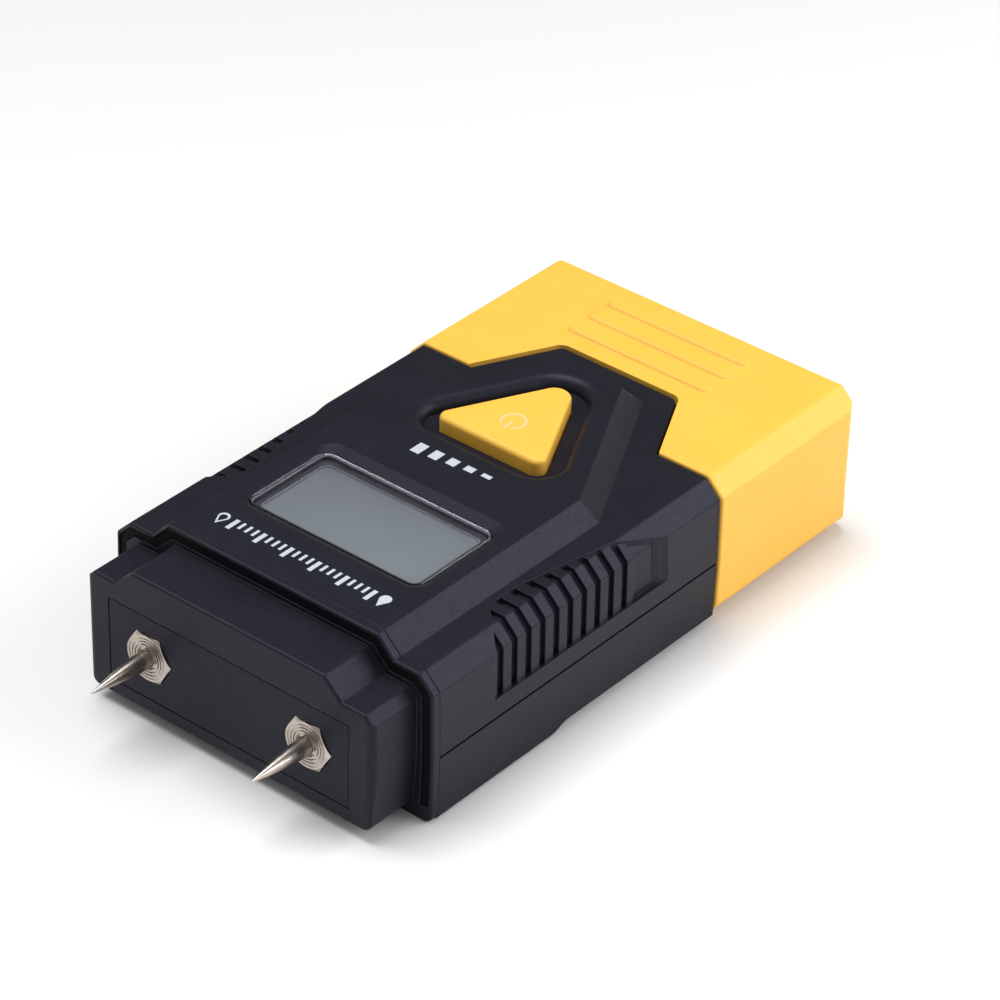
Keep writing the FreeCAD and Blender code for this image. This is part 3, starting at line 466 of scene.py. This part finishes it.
def ring_quads(x, y, r, width, start, end, steps=40):
    """Quads of an arc-shaped stroke."""
    outer = arc_points(x, y, r + width / 2, start, end, steps)
    inner = arc_points(x, y, r - width / 2, start, end, steps)
    return [[inner[i], inner[i + 1], outer[i + 1], outer[i]] for i in range(steps)]


def bar(x, y0, y1, width):
    """Upright stroke from y0 to y1."""
    w = width / 2
    return [(x - w, y0), (x + w, y0), (x + w, y1), (x - w, y1)]


def drop_outline(x, y, size):
    """Water drop of height size centred on (x, y), its tip towards -Y."""
    r = size * 0.31
    belly_y = y + size / 2 - r
    points = []
    for i in range(33):
        t = math.radians(-205 + 230 * i / 32)
        points.append((x + r * math.cos(t), belly_y - r * math.sin(t)))
    points.append((x, y - size / 2))
    return points


def rounded_loop(x, y0, y1, r, steps=10):
    """Corner-rounded rectangle, symmetric in X, as a list of (x, y)."""
    corners = [(x - r, y0 + r, -90), (x - r, y1 - r, 0), (-x + r, y1 - r, 90), (-x + r, y0 + r, 180)]
    points = []
    for cx, cy, start in corners:
        points += arc_points(cx, cy, r, start, start + 90, steps)
    return points


# ---- display -------------------------------------------------------------------------------
def window_sheet():
    """Thin clear sheet with bevelled edges, in place of the plain block of the model."""
    def outline(inset):
        return rounded_loop(LENS_HI.x - inset, LENS_LO.y + inset, LENS_HI.y - inset, 2.0 * MM - inset)

    top = LENS_HI.z
    levels = [(outline(0.0), top - 0.42 * MM), (outline(0.0), top - 0.16 * MM), (outline(0.12 * MM), top)]
    sheet = stack("window_sheet", levels, FINISHES["clear_window"], "housing")
    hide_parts("lens_window")


def frame_ring(name, inner, width, z0, z1, material):
    """Upright-sided ring round the view opening; inner is how far it stands inside the opening."""
    outer = inner - width
    radius = 1.3 * MM
    inside = rounded_loop(VIEW_X - inner, VIEW_Y0 + inner, VIEW_Y1 - inner, radius)
    outside = rounded_loop(VIEW_X - outer, VIEW_Y0 + outer, VIEW_Y1 - outer, radius + width)
    stack(name, [(inside, z0), (inside, z1), (outside, z1), (outside, z0)], material, "housing", ring=True)


def window_frame():
    """Gasket between the sheet and the display, with thin pale rings of painted highlight on its polished lip
    and at the edge of the glass.
    """
    top = LENS_HI.z - 0.44 * MM
    low = GLASS_Z + 0.02 * MM
    proud = 0.03 * MM
    strip = 0.08 * MM
    ledge = 0.95 * MM
    frame_ring("window_gasket", 0.0, 0.4 * MM, LENS_LO.z, top, GASKET)
    # Painted highlights: thin pale rings, strip wide, standing in for reflections on the lip and on the edge
    # of the glass.
    frame_ring("gasket_lip_highlight", proud, strip, top - 0.34 * MM, top - 0.02 * MM, EDGE_HIGHLIGHT_FINISH)
    frame_ring("window_ledge", ledge, ledge + 0.1 * MM, low, low + 0.52 * MM, GASKET)
    frame_ring("glass_edge_highlight", ledge + proud, strip, low, low + 0.38 * MM, EDGE_HIGHLIGHT_FINISH)


# ---- marks ---------------------------------------------------------------------------------
def scale_marks():
    """Plain tick scale between two water drops, one empty and one full, in front of the display."""
    y = LENS_LO.y - 6.0 * MM
    x_end = LENS_HI.x - 1.1 * MM
    drop = 3.1 * MM
    shapes = [drop_outline(x_end, y, drop)]
    outline = drop_outline(-x_end, y, drop)
    centre_x, centre_y = -x_end, y + 0.2 * MM
    hollow = 0.66
    inner = [(centre_x + (px - centre_x) * hollow, centre_y + (py - centre_y) * hollow) for px, py in outline]
    for i in range(len(outline)):
        j = (i + 1) % len(outline)
        shapes.append([inner[i], inner[j], outline[j], outline[i]])
    count = 21
    base = y + 1.3 * MM
    for i in range(count):
        x = (i / (count - 1) * 2 - 1) * (x_end - 2.3 * MM)
        height, width = (2.7 * MM, 0.75 * MM) if i % 4 == 0 else (1.7 * MM, 0.5 * MM)
        shapes.append(bar(x, base, base - height, width))
    raised_print("scale_marks", shapes, PANEL_Z, WHITE_INK, "housing")


def level_marks():
    """Five rising bars between the display and the key."""
    y = LENS_HI.y + 10.5 * MM
    pitch = 3.1 * MM
    shapes = [bar((2 - i) * pitch, y, y - (0.9 + 0.45 * i) * MM, 1.7 * MM) for i in range(5)]
    raised_print("level_marks", shapes, PANEL_Z, WHITE_INK, "housing")


def power_mark():
    """Usual power symbol on the key."""
    x = (PLUNGER_LO.x + PLUNGER_HI.x) / 2
    y = (PLUNGER_LO.y + PLUNGER_HI.y) / 2 - 0.6 * MM
    stroke = 0.45 * MM
    half_gap = 32
    shapes = ring_quads(x, y, 1.95 * MM, stroke, -90 + half_gap, 270 - half_gap)
    shapes.append(bar(x, y - 0.2 * MM, y - 2.6 * MM, stroke))
    raised_print("power_mark", shapes, KEY_Z, PEACH_INK, "key")


# ---- stage ---------------------------------------------------------------------------------
TARGET = (0, 0, 0.014)     # middle of the case


def make_floor():
    bpy.ops.mesh.primitive_plane_add(size=6.0, location=(0, 0, 0))
    floor = bpy.context.object
    floor.name = "floor"
    f = Finish("floor", (0.8, 0.8, 0.8), 0.7, specular=0.0)
    f.feed("Base Color", f.ramp(f.noise(0.4), [(0.3, (0.795, 0.795, 0.795)), (0.7, (0.805, 0.805, 0.805))]))
    floor.data.materials.append(f.material)


def make_side_box():
    """Soft box to the right and behind, for the flank and the end of the cap."""
    place = (0.62, 0.5, 0.42)
    light = bpy.data.lights.new("side_box", "AREA")
    light.shape = "RECTANGLE"
    light.size = 0.8
    light.size_y = 0.6
    light.energy = 5.5
    light.color = (1.0, 0.99, 1.0)
    lamp = bpy.data.objects.new("side_box", light)
    bpy.context.scene.collection.objects.link(lamp)
    lamp.location = place
    lamp.rotation_mode = "QUATERNION"
    lamp.rotation_quaternion = (Vector(place) - Vector(TARGET)).to_track_quat("Z", "Y")


def make_grey_card():
    """Dark grey card that keeps a bright wall out of the reflections on the top faces."""
    place = (-0.42, 0.52, 0.5)
    bpy.ops.mesh.primitive_plane_add(size=1.0, location=place)
    card = bpy.context.object
    card.name = "grey_card"
    card.scale = (1.0, 0.8, 1.0)
    card.rotation_mode = "QUATERNION"
    card.rotation_quaternion = (Vector(TARGET) - Vector(place)).to_track_quat("Z", "Y")
    f = Finish("grey_card", (0.11, 0.11, 0.12), 0.9, specular=0.0)
    card.data.materials.append(f.material)


def make_sky():
    """Even white surround and a very soft sun, high and a little to the left."""
    world = bpy.data.worlds.new("studio")
    world.use_nodes = True
    background = world.node_tree.nodes["Background"]
    background.inputs["Color"].default_value = (1.0, 1.0, 1.0, 1.0)
    background.inputs["Strength"].default_value = 0.44
    bpy.context.scene.world = world
    sun = bpy.data.lights.new("overhead", "SUN")
    sun.energy = 2.78
    sun.angle = math.radians(42)
    lamp = bpy.data.objects.new("overhead", sun)
    bpy.context.scene.collection.objects.link(lamp)
    lamp.rotation_mode = "QUATERNION"
    lamp.rotation_quaternion = Vector((-0.3, 0.0, 1.0)).to_track_quat("Z", "Y")


def make_camera():
    data = bpy.data.cameras.new("camera")
    data.sensor_width = 36.0
    data.lens = 152.3
    data.clip_start = 0.05
    camera = bpy.data.objects.new("camera", data)
    bpy.context.scene.collection.objects.link(camera)
    turn = Matrix.Rotation(math.radians(39.076), 4, "Z")
    tilt = Matrix.Rotation(math.radians(90 - 34.171), 4, "X")
    roll = Matrix.Rotation(math.radians(1.538), 4, "Z")
    place = Matrix.Translation((0.336488, -0.402693, 0.378541))
    camera.matrix_world = place @ turn @ tilt @ roll
    bpy.context.scene.camera = camera


bpy.context.scene.view_settings.view_transform = "Standard"
make_camera()
paint_cad_nodes()
window_sheet()
window_frame()
scale_marks()
level_marks()
power_mark()
make_floor()
make_sky()
make_side_box()
make_grey_card()
